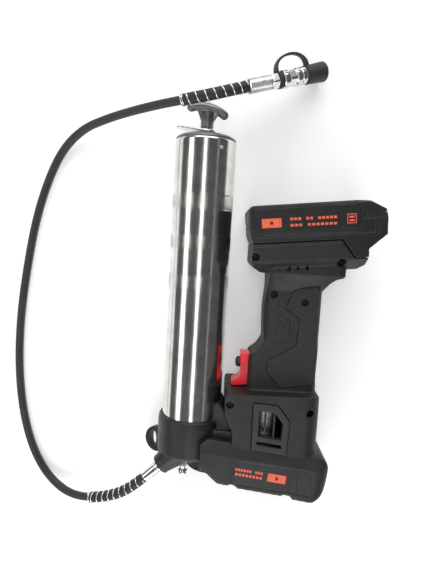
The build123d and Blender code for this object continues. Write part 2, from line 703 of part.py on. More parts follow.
SCREW_R = 1.6
SCREW_HEAD_R = 3.1
SCREW_END = -14.0
LENS_COUNT = 4
LENS_FIRST = 26.0
LENS_PITCH = 8.1
LENS_Y = -24.5
LENS_WIDTH = 2.4
LENS_LENGTH = 3.6
LENS_PLACES = [(LENS_FIRST + LENS_PITCH * number, LENS_Y) for number in range(LENS_COUNT)]
LABEL_DEPTH = 1.2
PAD_DEPTH = 2.2
PAD_THICKNESS = 2.8

with BuildPart() as housing:
    add(outside.part)
    cut(inside.part)
    for x, y, top in SCREWS:
        peg(x, y, -top, top, 4.6)
    clip(outside.part)
    peg(SCREWS[1][0], SCREWS[1][1], -19, 19, 9)
    slab(side(), [(50, -59.6), (57, -59.6), (57, -91), (50, -91)], -9.4, 9.4, mode=Mode.SUBTRACT)
    slab(side(), [(55.8, -61), (68, -61), (68, -89), (55.8, -89)], -12, 12, mode=Mode.SUBTRACT)
    slab(side(), [(36, -88), (60.6, -88), (60.6, -92.9), (36, -92.9)], -9.4, 9.4,
         mode=Mode.SUBTRACT)
    slab(BATTERY_FRAME, [(13.6, 2), (13.6, -12.3), (110, -12.3), (110, 2)], -TONGUE_HALF - 0.3,
         TONGUE_HALF + 0.3, mode=Mode.SUBTRACT)
    slab(BATTERY_FRAME, [(95.4, -16), (95.4, -20.4), (112, -20.4), (112, -16)], -6.4, 6.4,
         mode=Mode.SUBTRACT)
    for low, high in ((GEAR_HALF - 6, 50), (-50, 6 - GEAR_HALF)):
        slab(side(), VENT, low, high, mode=Mode.SUBTRACT)
    for low, high in ((BOX_HALF - LABEL_DEPTH, 50), (-50, LABEL_DEPTH - BOX_HALF)):
        slab(BOX_FRAME, LABEL, low, high, corner=1.5, mode=Mode.SUBTRACT)
    for low, high in ((GRIP_HALF - PAD_DEPTH, 50), (-50, PAD_DEPTH - GRIP_HALF)):
        slab(side(), OVERMOLD, low, high, corner=1.2, mode=Mode.SUBTRACT)
    for x, y, top in SCREWS:
        peg(x, y, SCREW_END, 50, SCREW_R, mode=Mode.SUBTRACT)
        peg(x, y, top - 3, 50, SCREW_HEAD_R + 0.4, mode=Mode.SUBTRACT)
    with BuildSketch(BATTERY_FRAME) as slots:
        with Locations(*LENS_PLACES):
            Rectangle(LENS_WIDTH, LENS_LENGTH)
    extrude(slots.sketch, amount=40, mode=Mode.SUBTRACT)
    cut(pump_head.part)
    bar(-175.5, -120, COLLAR_R, mode=Mode.SUBTRACT)
    bar(-175.5, -142, 25, x=CRANK_X, mode=Mode.SUBTRACT)
    cut(gearcase_cover.part)
    bar(-175.1, -168.9, 19.6, x=IDLER_X, mode=Mode.SUBTRACT)

with BuildPart() as housing_right:
    add(housing.part)
    split(bisect_by=side(), keep=Keep.TOP)
send(housing_right, "housing_right")

with BuildPart() as housing_left:
    add(housing.part)
    split(bisect_by=side(), keep=Keep.BOTTOM)
send(housing_left, "housing_left")

with BuildPart() as housing_screws:
    for x, y, top in SCREWS:
        peg(x, y, SCREW_END, top - 3, SCREW_R)
        peg(x, y, top - 3, top - 1, SCREW_HEAD_R)
send(housing_screws, "housing_screws")

with BuildPart() as indicator_lenses:
    with BuildSketch(BATTERY_FRAME.offset(17)) as lenses:
        with Locations(*LENS_PLACES):
            Rectangle(LENS_WIDTH, LENS_LENGTH)
    extrude(lenses.sketch, amount=6.5)
send(indicator_lenses, "indicator_lenses")


def vent_insert(low, high, skin_low, skin_high):
    """A vent frame with three upright openings and one low one."""
    with BuildPart() as vent:
        slab(side(), VENT, low, high, inset=0.05)
        slab(side(), VENT_WINDOW, low - 1, high + 1, mode=Mode.SUBTRACT)
        slab(side(), VENT_SLOT, low - 1, high + 1, mode=Mode.SUBTRACT)
        for x in (70.0, 78.2):
            block(x - 0.9, x + 0.9, -133.6, -106, skin_low, skin_high)
    return vent.part


with BuildPart() as vent_inserts:
    add(vent_insert(GEAR_HALF - 6, GEAR_HALF + 1.2, GEAR_HALF - 4, GEAR_HALF - 1))
    add(vent_insert(-GEAR_HALF - 1.2, 6 - GEAR_HALF, 1 - GEAR_HALF, 4 - GEAR_HALF))
send(vent_inserts, "vent_inserts")

with BuildPart() as label_plates:
    for low in (BOX_HALF - LABEL_DEPTH, LABEL_DEPTH - 1.0 - BOX_HALF):
        slab(BOX_FRAME, LABEL, low, low + 1.0, corner=1.5, inset=0.1)
    clip(box_shape())
    cut(vent_inserts.part)
send(label_plates, "label_plates")

for side_name, low in (("right", GRIP_HALF - PAD_DEPTH),
                       ("left", PAD_DEPTH - PAD_THICKNESS - GRIP_HALF)):
    with BuildPart() as overmold:
        slab(side(), OVERMOLD, low, low + PAD_THICKNESS, corner=1.2, inset=0.05)
        for x, y, top in SCREWS[2:4]:
            peg(x, y, -40, 40, SCREW_HEAD_R + 0.4, mode=Mode.SUBTRACT)
        cut(housing_right.part if side_name == "right" else housing_left.part)
    send(overmold, f"grip_pad_{side_name}")

# ---- Grease hose, with its ferrules, guards and coupler --------------------------------------
FERRULE_LENGTH = 21.0
INLET_END = PORT + PORT_DIRECTION * FERRULE_LENGTH
OUTLET = Vector(34.3, 185.2, 10)
OUTLET_DIRECTION = Vector(75.5, 31.1, -39).normalized()
FLOOR_HOSE = FLOOR + HOSE_R + 0.1
ROUTE = [
    INLET_END,
    INLET_END + PORT_DIRECTION * 20,
    Vector(-77, -220.5, -6),
    Vector(-101, -230, -15),
    Vector(-128, -232, -24.5),
    Vector(-153, -216.5, -31.5),
    Vector(-171, -186, FLOOR_HOSE),
    Vector(-182, -143, FLOOR_HOSE),
    Vector(-186.5, -93, FLOOR_HOSE),
    Vector(-185, -42, FLOOR_HOSE),
    Vector(-179, 8, FLOOR_HOSE),
    Vector(-171, 56, FLOOR_HOSE),
    Vector(-159.5, 96, FLOOR_HOSE),
    Vector(-145, 127, -31.5),
    Vector(-123, 147, -24),
    Vector(-97, 155.5, -13),
    Vector(-71, 160.5, 0),
    Vector(-46, 164.5, 11),
    Vector(-22, 168, 19),
    Vector(1, 173, 21),
    OUTLET - OUTLET_DIRECTION * 17,
    OUTLET,
]


def corner_radii(points):
    """The largest even arc for each corner of the route."""
    radii = []
    for before, corner, after in zip(points, points[1:], points[2:]):
        turn = radians((corner - before).get_angle(after - corner))
        shorter = min((corner - before).length, (after - corner).length)
        radii.append(0.45 * shorter / tan(turn / 2))
    return radii


hose_radii = corner_radii(ROUTE)
print("hose radii", [round(radius) for radius in hose_radii])

with BuildLine() as hose_path:
    FilletPolyline(*[DATUM + point for point in ROUTE], radius=hose_radii)
hose_edges = hose_path.wire().order_edges()
print("hose length", round(hose_path.wire().length, 1),
      [round(edge.length, 1) for edge in hose_edges[:9]],
      [round(edge.length, 1) for edge in hose_edges[-9:]])


def tube_along(edges, radius, bore=0.0):
    """A tube that follows those edges of the hose's path."""
    with BuildLine() as path:
        add(edges)
    wire = path.wire()
    with BuildSketch(Plane(origin=wire @ 0, z_dir=wire % 0)) as section:
        Circle(radius)
        if bore:
            Circle(bore, mode=Mode.SUBTRACT)
    sweep(section.sketch, path=wire)


with BuildPart() as hose:
    tube_along(hose_edges, HOSE_R)
send(hose, "hose")
print("hose section times length", round(pi * HOSE_R ** 2 * hose_path.wire().length))

# Each guard covers five whole edges of the path and a part of the sixth.
GUARD_EDGES = 5
INLET_SHARE = 0.6
OUTLET_SHARE = 0.6
inlet_edges = hose_edges[:GUARD_EDGES] + [hose_edges[GUARD_EDGES].trim(0, INLET_SHARE)]
outlet_edges = ([hose_edges[-GUARD_EDGES - 1].trim(1 - OUTLET_SHARE, 1)]
                + hose_edges[-GUARD_EDGES:])
for edges in (inlet_edges, outlet_edges):
    print("guard length", round(sum(edge.length for edge in edges), 1))

with BuildPart() as hose_guard_inlet:
    tube_along(inlet_edges, GUARD_R, HOSE_R)
send(hose_guard_inlet, "hose_guard_inlet")

with BuildPart() as hose_guard_outlet:
    tube_along(outlet_edges, GUARD_R, HOSE_R)
send(hose_guard_outlet, "hose_guard_outlet")

with BuildPart() as hose_ferrule_inlet:
    port_bar(0, 2.5, 6.6)
    port_bar(2.5, FERRULE_LENGTH, 5.6)
    port_bar(-1, FERRULE_LENGTH - 6, 1.8, mode=Mode.SUBTRACT)
send(hose_ferrule_inlet, "hose_ferrule_inlet")


def outlet_plane(distance):
    """A plane square to the coupler's axis, that far past the end of the hose."""
    return Plane(origin=DATUM + OUTLET + OUTLET_DIRECTION * distance,
                 x_dir=OUTLET_DIRECTION.cross(Vector(0, 0, 1)), z_dir=OUTLET_DIRECTION)


def outlet_bar(start, end, radius, taper_to=None, mode=Mode.ADD):
    """A round bar or cone along the coupler's axis."""
    with BuildSketch(outlet_plane(start)) as disc:
        Circle(radius)
    if taper_to is None:
        extrude(disc.sketch, amount=end - start, mode=mode)
    else:
        with BuildSketch(outlet_plane(end)) as far_disc:
            Circle(taper_to)
        loft([disc.sketch, far_disc.sketch], mode=mode)


RIB_COUNT = 12
RIB_PITCH = 2.0
RIB_R = 7.0
FERRULE_END = 25.0
ADAPTER_END = 33.0
with BuildPart() as hose_ferrule_outlet:
    outlet_bar(0, FERRULE_END, RIB_R - 0.5)
    for number in range(RIB_COUNT):
        outlet_bar(0.6 + RIB_PITCH * number, 1.8 + RIB_PITCH * number, RIB_R)
send(hose_ferrule_outlet, "hose_ferrule_outlet")

NECK_R = 5.0
BODY_START = 38.0
BODY_END = 65.0
BODY_R = 8.4
CAP_START = 66.0
CAP_END = 89.0
TIP_R = 6.2
TIP_END = 80.0
with BuildPart() as coupler_adapter:
    with BuildSketch(outlet_plane(FERRULE_END)) as hexagon:
        RegularPolygon(radius=7.6, side_count=6)
    extrude(hexagon.sketch, amount=ADAPTER_END - FERRULE_END)
    outlet_bar(ADAPTER_END, BODY_START, NECK_R)
send(coupler_adapter, "coupler_adapter")

with BuildPart() as coupler_body:
    outlet_bar(BODY_START, 45, BODY_R)
    outlet_bar(45, 53, BODY_R - 0.8)
    outlet_bar(53, BODY_END, BODY_R)
    outlet_bar(BODY_END, TIP_END, TIP_R)
    outlet_bar(66, 81, 3.2, mode=Mode.SUBTRACT)
send(coupler_body, "coupler_body")

JAW_COUNT = 3
with BuildPart() as coupler_jaws:
    outlet_bar(70, 79, 3.15)
    outlet_bar(69, 80, 1.9, mode=Mode.SUBTRACT)
    with BuildSketch(outlet_plane(69)) as gaps:
        with PolarLocations(0, JAW_COUNT, start_angle=30):
            with Locations((2.6, 0)):
                Rectangle(3, 0.6)
    extrude(gaps.sketch, amount=12, mode=Mode.SUBTRACT)
send(coupler_jaws, "coupler_jaws")

with BuildPart() as coupler_cap:
    outlet_bar(CAP_START, CAP_END, 8.7, taper_to=9.5)
    outlet_bar(CAP_START - 1, TIP_END + 0.4, TIP_R + 0.1, mode=Mode.SUBTRACT)
send(coupler_cap, "coupler_cap")

STRAP_SIDE = (Vector(0, 1, 0) - OUTLET_DIRECTION * OUTLET_DIRECTION.Y).normalized()


def strap_point(distance, offset):
    """A point beside the coupler's axis, on the strap's side."""
    return DATUM + OUTLET + OUTLET_DIRECTION * distance + STRAP_SIDE * offset


STRAP_RING = (33.5, 37.5)
STRAP_WIDTH = 5.0
STRAP_THICKNESS = 2.4
with BuildPart() as cap_strap:
    outlet_bar(*STRAP_RING, 7.6)
    with BuildLine() as strap:
        ThreePointArc(strap_point(35.5, 6.8), strap_point(50, 21.5), strap_point(72, 9.4))
    with BuildSketch(Plane(origin=strap.line @ 0, x_dir=OUTLET_DIRECTION.cross(STRAP_SIDE),
                           z_dir=strap.line % 0)) as strap_section:
        Rectangle(STRAP_WIDTH, STRAP_THICKNESS)
    sweep(strap_section.sketch, path=strap.line)
    outlet_bar(30, 39, NECK_R + 0.05, mode=Mode.SUBTRACT)
    cut(coupler_adapter.part)
    cut(coupler_body.part)
    cut(coupler_cap.part)
send(cap_strap, "cap_strap")
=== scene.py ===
import bmesh
import bpy
import json
import math
import numpy as np
from mathutils import Matrix, Vector


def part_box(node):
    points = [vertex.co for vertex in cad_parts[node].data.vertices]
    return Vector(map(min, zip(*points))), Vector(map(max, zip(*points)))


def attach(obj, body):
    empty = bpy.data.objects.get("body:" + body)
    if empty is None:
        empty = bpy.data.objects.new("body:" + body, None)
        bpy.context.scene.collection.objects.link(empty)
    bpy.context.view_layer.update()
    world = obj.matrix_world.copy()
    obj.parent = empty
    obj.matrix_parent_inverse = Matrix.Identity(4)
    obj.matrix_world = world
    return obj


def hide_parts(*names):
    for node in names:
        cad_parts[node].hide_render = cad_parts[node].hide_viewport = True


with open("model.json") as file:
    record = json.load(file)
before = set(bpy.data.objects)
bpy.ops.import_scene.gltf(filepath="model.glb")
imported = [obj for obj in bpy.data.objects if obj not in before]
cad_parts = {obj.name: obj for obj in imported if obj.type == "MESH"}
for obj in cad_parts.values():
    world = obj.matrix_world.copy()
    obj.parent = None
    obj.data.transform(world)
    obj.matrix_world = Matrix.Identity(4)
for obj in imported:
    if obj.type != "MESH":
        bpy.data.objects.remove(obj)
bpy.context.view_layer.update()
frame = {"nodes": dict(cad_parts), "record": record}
nodes = frame["nodes"]

# ---- The datum: the barrel's axis, the gun's middle plane, and 141 mm above the barrel's foot ----
MM = 0.001
TUBE_LOW, TUBE_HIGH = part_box("barrel_tube")
BARREL_FOOT = -140.95
DATUM = Vector(((TUBE_LOW.x + TUBE_HIGH.x) / 2, TUBE_LOW.y - BARREL_FOOT * MM,
                (TUBE_LOW.z + TUBE_HIGH.z) / 2))
BARREL_R = (TUBE_HIGH.x - TUBE_LOW.x) / 2 / MM
BATTERY_LEAN = math.radians(6.2)
BOX_LEAN = math.radians(-6.6)
BATTERY_ORIGIN = (45.5, 45.0)
BOX_ORIGIN = (11.0, -143.0)
UP_BARREL = Vector((0, 1, 0))


def at(x, y, z=0.0):
    """A place given in millimetres from the datum."""
    return DATUM + Vector((x, y, z)) * MM


def leaning(origin, lean, x, y):
    """A point of a leaning frame, in millimetres from the datum."""
    return (origin[0] + x * math.cos(lean) - y * math.sin(lean),
            origin[1] + x * math.sin(lean) + y * math.cos(lean))


def on_battery(x, y):
    """A point of the battery's frame, which leans with the battery."""
    return leaning(BATTERY_ORIGIN, BATTERY_LEAN, x, y)


def on_box(x, y):
    """A point of the gear housing's foot, which leans the other way."""
    return leaning(BOX_ORIGIN, BOX_LEAN, x, y)


# ---- Camera -------------------------------------------------------------------------------------
FOCAL_LENGTH = 1.06236  # in picture widths
CAMERA_DISTANCE = 444.0
CAMERA_PITCH = math.radians(6.0)
CAMERA_ROLL = math.radians(3.4)
LOOKED_AT = (17.78, 0.0, 0.0)
SENSOR = 36.0


def make_camera():
    """Above the gun, tipped a little towards its handle end, and rolled."""
    data = bpy.data.cameras.new("camera")
    data.sensor_fit = "HORIZONTAL"
    data.sensor_width = SENSOR
    data.lens = FOCAL_LENGTH * SENSOR
    data.clip_start = 0.01
    camera = bpy.data.objects.new("camera", data)
    bpy.context.scene.collection.objects.link(camera)
    back = Vector((0, math.sin(CAMERA_PITCH), math.cos(CAMERA_PITCH)))
    level = Vector((1, 0, 0))
    rise = back.cross(level)
    across = math.cos(CAMERA_ROLL) * level + math.sin(CAMERA_ROLL) * rise
    up = back.cross(across)
    place = at(*LOOKED_AT) + back * CAMERA_DISTANCE * MM
    turn = Matrix((across, up, back)).transposed().to_4x4()
    camera.matrix_world = Matrix.Translation(place) @ turn
    bpy.context.scene.camera = camera


make_camera()


# ---- Materials ----------------------------------------------------------------------------------
MIX_FIRST, MIX_SECOND, MIX_RESULT = 6, 7, 2  # the Mix node's colour sockets


class Shader:
    """A node material with one Principled shader and short calls to build on it."""

    def __init__(self, name, roughness=0.5, metallic=0.0, colour=(0.5, 0.5, 0.5), **sockets):
        self.material = bpy.data.materials.new(name)
        self.material.use_nodes = True
        self.tree = self.material.node_tree
        self.main = self.tree.nodes["Principled BSDF"]
        self.main.inputs["Roughness"].default_value = roughness
        self.main.inputs["Metallic"].default_value = metallic
        self.main.inputs["Base Color"].default_value = (*colour, 1)
        for socket, value in sockets.items():
            self.main.inputs[socket.replace("_", " ")].default_value = value
        self.place = self.tree.nodes.new("ShaderNodeTexCoord").outputs["Object"]
        self.height = None

    def link(self, source, target):
        self.tree.links.new(source, target)

    def stretched(self, scale):
        """The object's own coordinates, scaled along each axis."""
        mapping = self.tree.nodes.new("ShaderNodeMapping")
        mapping.inputs["Scale"].default_value = scale
        self.link(self.place, mapping.inputs["Vector"])
        return mapping.outputs["Vector"]

    def noise(self, scale, detail=3.0, roughness=0.55, stretch=None):
        node = self.tree.nodes.new("ShaderNodeTexNoise")
        node.inputs["Scale"].default_value = scale
        node.inputs["Detail"].default_value = detail
        node.inputs["Roughness"].default_value = roughness
        self.link(self.stretched(stretch) if stretch else self.place, node.inputs["Vector"])
        return node.outputs["Fac"]

    def voronoi(self, scale):
        node = self.tree.nodes.new("ShaderNodeTexVoronoi")
        node.inputs["Scale"].default_value = scale
        self.link(self.place, node.inputs["Vector"])
        return node.outputs["Distance"]

    def ranged(self, source, low, high, source_low=0.3, source_high=0.7):
        node = self.tree.nodes.new("ShaderNodeMapRange")
        for socket, value in (("From Min", source_low), ("From Max", source_high),
                              ("To Min", low), ("To Max", high)):
            node.inputs[socket].default_value = value
        self.link(source, node.inputs["Value"])
        return node.outputs["Result"]

    def blend(self, factor, first, second):
        node = self.tree.nodes.new("ShaderNodeMix")
        node.data_type = "RGBA"
        self.link(factor, node.inputs["Factor"])
        node.inputs[MIX_FIRST].default_value = (*first, 1)
        node.inputs[MIX_SECOND].default_value = (*second, 1)
        return node.outputs[MIX_RESULT]

    def worn(self, dark, light):
        """Two colours over the surface, the lighter one along the edges."""
        cloud = self.ranged(self.noise(90, 4), 0.0, 0.45)
        geometry = self.tree.nodes.new("ShaderNodeNewGeometry")
        edge = self.ranged(geometry.outputs["Pointiness"], 0.0, 0.55, 0.5, 0.58)
        total = self.tree.nodes.new("ShaderNodeMath")
        total.use_clamp = True
        self.link(cloud, total.inputs[0])
        self.link(edge, total.inputs[1])
        self.link(self.blend(total.outputs[0], dark, light), self.main.inputs["Base Color"])

    def bump(self, source, strength, distance):
        node = self.tree.nodes.new("ShaderNodeBump")
        node.inputs["Strength"].default_value = strength
        node.inputs["Distance"].default_value = distance
        self.link(source, node.inputs["Height"])
        if self.height:
            self.link(self.height, node.inputs["Normal"])
        self.height = node.outputs["Normal"]
        self.link(self.height, self.main.inputs["Normal"])

    def rough(self, source, low, high):
        self.link(self.ranged(source, low, high), self.main.inputs["Roughness"])


def moulded(name, dark, light, roughness, grain, depth=0.00012):
    """Moulded plastic with a spark-eroded grain."""
    shader = Shader(name)
    shader.worn(dark, light)
    shader.bump(shader.noise(grain, 5, 0.7), 0.55, depth)
    shader.rough(shader.noise(60, 4), roughness - 0.06, roughness + 0.08)
    return shader.material


def rubbery(name, dark, light, roughness=0.62):
    """Soft rubber, finely matt, with faint handling marks."""
    shader = Shader(name, Sheen_Weight=0.08)
    shader.worn(dark, light)
    shader.bump(shader.noise(2600, 3, 0.6), 0.3, 0.00006)
    shader.rough(shader.noise(45, 5), roughness - 0.09, roughness + 0.1)
    return shader.material


def machined(name, dark, light, roughness, stretch, strength=0.25):
    """Turned or drawn metal with fine lines along one direction."""
    shader = Shader(name, metallic=1.0)
    shader.link(shader.blend(shader.ranged(shader.noise(70, 4), 0, 1), dark, light),
                shader.main.inputs["Base Color"])
    lines = shader.noise(900, 3, 0.6, stretch)
    shader.bump(lines, strength, 0.00002)
    shader.rough(lines, roughness * 0.75, roughness * 1.35)
    return shader.material


def smooth_plastic(name, dark, light, roughness):
    """Smooth moulded plastic with a thin gloss."""
    shader = Shader(name, Coat_Weight=0.15, Coat_Roughness=0.25)
    shader.worn(dark, light)
    shader.bump(shader.noise(1500, 3), 0.12, 0.00004)
    shader.rough(shader.noise(80, 4), roughness - 0.06, roughness + 0.08)
    return shader.material


def cast(name, dark, light, roughness):
    """Powder-coated casting: a soft orange peel."""
    shader = Shader(name, Coat_Weight=0.1, Coat_Roughness=0.4)
    shader.worn(dark, light)
    shader.bump(shader.noise(520, 3, 0.5), 0.35, 0.00012)
    shader.bump(shader.voronoi(1900), 0.15, 0.00005)
    shader.rough(shader.noise(70, 4), roughness - 0.07, roughness + 0.08)
    return shader.material


def printed(name, dark, light):
    """Pad-printed ink, a little uneven where the plastic's grain shows through."""
    shader = Shader(name)
    shader.link(shader.blend(shader.ranged(shader.noise(700, 4), 0, 1), dark, light),
                shader.main.inputs["Base Color"])
    shader.bump(shader.noise(2400, 3), 0.2, 0.00004)
    shader.rough(shader.noise(300, 3), 0.42, 0.6)
    return shader.material


ALONG_Y = (1.0, 0.04, 1.0)
EVEN = (1.0, 1.0, 1.0)
MATERIALS = {
    "housing_plastic": moulded("housing_plastic", (.009, .0092, .0088), (.025, .025, .0235), .56, 1500),
    "battery_plastic": moulded("battery_plastic", (.0042, .0045, .0046), (.013, .0135, .014), .52, 1900),
    "latch_plastic": moulded("latch_plastic", (.008, .0085, .009), (.022, .022, .023), .48, 1900),
    "vent_plastic": moulded("vent_plastic", (.017, .0175, .017), (.042, .043, .04), .54, 1700),
    "label_plastic": smooth_plastic("label_plastic", (.0055, .006, .0068), (.015, .016, .018), .46),
    "grip_rubber": rubbery("grip_rubber", (.01, .0105, .0102), (.024, .025, .0235), .6),
    "seal_rubber": rubbery("seal_rubber", (.014, .014, .014), (.035, .035, .035)),
    "cap_rubber": rubbery("cap_rubber", (.013, .013, .0135), (.036, .036, .037), .55),
    "hose_rubber": rubbery("hose_rubber", (.012, .012, .0125), (.034, .034, .034), .5),
    "guard_sleeve": rubbery("guard_sleeve", (.01, .01, .0105), (.027, .027, .028), .6),
    "red_plastic": smooth_plastic("red_plastic", (.85, .012, .028), (.98, .04, .06), .34),
    "black_button": smooth_plastic("black_button", (.012, .012, .012), (.035, .035, .035), .38),
    "motor_plastic": smooth_plastic("motor_plastic", (.32, .31, .28), (.45, .44, .4), .5),
    "board_green": smooth_plastic("board_green", (.01, .1, .03), (.02, .16, .05), .35),
    "cell_wrap": smooth_plastic("cell_wrap", (.02, .12, .3), (.04, .18, .4), .35),
    "clear_lens": smooth_plastic("clear_lens", (.02, .02, .02), (.06, .06, .06), .12),
    "black_casting": cast("black_casting", (.005, .0054, .005), (.015, .016, .015), .46),
    "plated_steel": machined("plated_steel", (.6, .59, .56), (.78, .77, .74), .16, ALONG_Y, .15),
    "rod_steel": machined("rod_steel", (.55, .54, .52), (.74, .73, .71), .2, ALONG_Y),
    "handle_metal": machined("handle_metal", (.16, .157, .146), (.3, .292, .275), .4, EVEN, .5),
    "nipple_steel": machined("nipple_steel", (.66, .66, .67), (.86, .86, .87), .17, EVEN),
    "spring_steel": machined("spring_steel", (.72, .72, .72), (.9, .9, .9), .2, EVEN),
    "dark_steel": machined("dark_steel", (.012, .012, .012), (.04, .04, .04), .45, EVEN, .5),
    "bright_steel": machined("bright_steel", (.5, .5, .5), (.68, .68, .68), .28, EVEN),
    "bronze": machined("bronze", (.5, .3, .12), (.66, .42, .2), .3, EVEN),
    "raw_aluminium": machined("raw_aluminium", (.6, .6, .61), (.78, .78, .79), .38, EVEN),
    "print_orange": printed("print_orange", (.78, .1, .045), (.9, .17, .09)),
    "print_dark": printed("print_dark", (.05, .01, .008), (.09, .02, .015)),
}

# ---- Every carried-over node gets its slot's material --------------------------------------------
SLOT_OF = {part["node"]: part["material_slot"] for part in frame["record"]["subparts"]}
for node, shape in nodes.items():
    shape.data.materials.clear()
    shape.data.materials.append(MATERIALS[SLOT_OF[node]])


# ---- Building pieces ------------------------------------------------------------------------------
def finish_piece(piece, body, slot, material=None, replaces=()):
    """Smooth faces, its material, its body, and the nodes that it stands for."""
    piece.data.materials.clear()
    piece.data.materials.append(MATERIALS[material or slot])
    if piece.type == "MESH":
        piece.data.shade_smooth()
    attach(piece, body)
    if replaces:
        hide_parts(*replaces)
    return piece


def mesh_object(name, points, faces):
    """A mesh piece in the scene, from points in metres and faces of their numbers."""
    mesh = bpy.data.meshes.new(name)
    mesh.from_pydata([tuple(point) for point in points], [], faces)
    mesh.validate()
    piece = bpy.data.objects.new(name, mesh)
    bpy.context.scene.collection.objects.link(piece)
    return piece


def applied(piece):
    """Replaces the piece's mesh with the one that its modifiers make."""
    bpy.context.view_layer.update()
    graph = bpy.context.evaluated_depsgraph_get()
    mesh = bpy.data.meshes.new_from_object(piece.evaluated_get(graph))
    piece.modifiers.clear()
    piece.data = mesh
    return piece


def softened(name, node, voxel, smoothing):
    """A copy of a node's shape with its edges rounded, as a moulding or a casting has them."""
    piece = bpy.data.objects.new(name, nodes[node].data.copy())
    bpy.context.scene.collection.objects.link(piece)
    remesh = piece.modifiers.new("remesh", "REMESH")
    remesh.mode = "VOXEL"
    remesh.voxel_size = voxel * MM
    soften = piece.modifiers.new("soften", "SMOOTH")
    soften.factor = 0.5
    soften.iterations = smoothing
    return applied(piece)


def lathe(name, profile, origin, direction, segments=96, wave=None):
    """A turned piece. The profile gives (radius, distance along the axis) in millimetres, closed
    on itself. wave(ring, step) gives an extra radius."""
    direction = direction.normalized()
    side = direction.orthogonal().normalized()
    other = direction.cross(side)
    points, faces = [], []
    for ring, (radius, distance) in enumerate(profile):
        for step in range(segments):
            angle = 2 * math.pi * step / segments
            reach = (radius + (wave(ring, step) if wave else 0)) * MM
            points.append(origin + direction * distance * MM
                          + (side * math.cos(angle) + other * math.sin(angle)) * reach)
    rings = len(profile)
    for ring in range(rings):
        following = (ring + 1) % rings
        for step in range(segments):
            nearby = (step + 1) % segments
            faces.append((ring * segments + step, ring * segments + nearby,
                          following * segments + nearby, following * segments + step))
    piece = mesh_object(name, points, faces)
    tidy_mesh(piece)
    return piece


def tidy_mesh(piece):
    """Merges the points on an axis and turns every face outwards."""
    made = bmesh.new()
    made.from_mesh(piece.data)
    bmesh.ops.remove_doubles(made, verts=made.verts, dist=1e-7)
    bmesh.ops.recalc_face_normals(made, faces=made.faces)
    made.to_mesh(piece.data)
    made.free()


def rounded_profile(corners, radius=0.5, steps=4):
    """A closed profile with its corners rounded; a corner may be (radius, distance, rounding)."""
    result = []
    count = len(corners)
    for index, corner in enumerate(corners):
        here = Vector(corner[:2])
        before = Vector(corners[index - 1][:2])
        after = Vector(corners[(index + 1) % count][:2])
        wanted = corner[2] if len(corner) > 2 else radius
        reach = min(wanted, (before - here).length * 0.45, (after - here).length * 0.45)
        if reach < 0.01 or here.x < 0.01:
            result.append(tuple(here))
            continue
        first = here + (before - here).normalized() * reach
        last = here + (after - here).normalized() * reach
        for step in range(steps + 1):
            share = step / steps
            point = (first * (1 - share) ** 2 + here * 2 * share * (1 - share)
                     + last * share ** 2)
            result.append(tuple(point))
    return result


# ---- The hose -------------------------------------------------------------------------------------
HOSE_R = 4.0
GUARD_R = 5.7
PORT_LEAN = math.radians(43)
PORT_DIRECTION = Vector((-math.cos(PORT_LEAN), -math.sin(PORT_LEAN), 0))
PORT = Vector((-28.5, -181, 0))
FERRULE_LENGTH = 21.0
INLET_END = PORT + PORT_DIRECTION * FERRULE_LENGTH
OUTLET = Vector((34.3, 185.2, 10))
OUTLET_DIRECTION = Vector((75.5, 31.1, -39)).normalized()
FLOOR_HOSE = -37.5 + HOSE_R + 0.1
ROUTE = [
    INLET_END,
    INLET_END + PORT_DIRECTION * 20,
    Vector((-77, -220.5, -6)),
    Vector((-101, -230, -15)),
    Vector((-128, -232, -24.5)),
    Vector((-153, -216.5, -31.5)),
    Vector((-171, -186, FLOOR_HOSE)),
    Vector((-182, -143, FLOOR_HOSE)),
    Vector((-186.5, -93, FLOOR_HOSE)),
    Vector((-185, -42, FLOOR_HOSE)),
    Vector((-179, 8, FLOOR_HOSE)),
    Vector((-171, 56, FLOOR_HOSE)),
    Vector((-159.5, 96, FLOOR_HOSE)),
    Vector((-145, 127, -31.5)),
    Vector((-123, 147, -24)),
    Vector((-97, 155.5, -13)),
    Vector((-71, 160.5, 0)),
    Vector((-46, 164.5, 11)),
    Vector((-22, 168, 19)),
    Vector((1, 173, 21)),
    OUTLET - OUTLET_DIRECTION * 17,
    OUTLET,
]


def route_curve(name, bevel):
    """The hose's route as one smooth curve."""
    data = bpy.data.curves.new(name, "CURVE")
    data.dimensions = "3D"
    data.resolution_u = 12
    data.bevel_depth = bevel
    data.bevel_resolution = 7
    data.use_fill_caps = True
    spline = data.splines.new("NURBS")
    spline.points.add(len(ROUTE) - 1)
    for point, place in zip(spline.points, ROUTE):
        point.co = (*at(*place), 1)
    spline.order_u = 3
    spline.use_endpoint_u = True
    piece = bpy.data.objects.new(name, data)
    bpy.context.scene.collection.objects.link(piece)
    return piece


def route_line():
    """Points along the route's smooth curve, and their distance from its start."""
    thin = route_curve("thin_route", 0)
    bpy.context.view_layer.update()
    graph = bpy.context.evaluated_depsgraph_get()
    mesh = bpy.data.meshes.new_from_object(thin.evaluated_get(graph))
    line = np.array([tuple(vertex.co) for vertex in mesh.vertices])
    bpy.data.meshes.remove(mesh)
    bpy.data.objects.remove(thin)
    steps = np.linalg.norm(np.diff(line, axis=0), axis=1)
    return line, np.concatenate([[0], np.cumsum(steps)])


LINE, REACH = route_line()
HOSE_LENGTH = float(REACH[-1])


def along_route(distance):
    """The point at that distance from the route's start."""
    return Vector([float(np.interp(distance, REACH, LINE[:, axis])) for axis in range(3)])


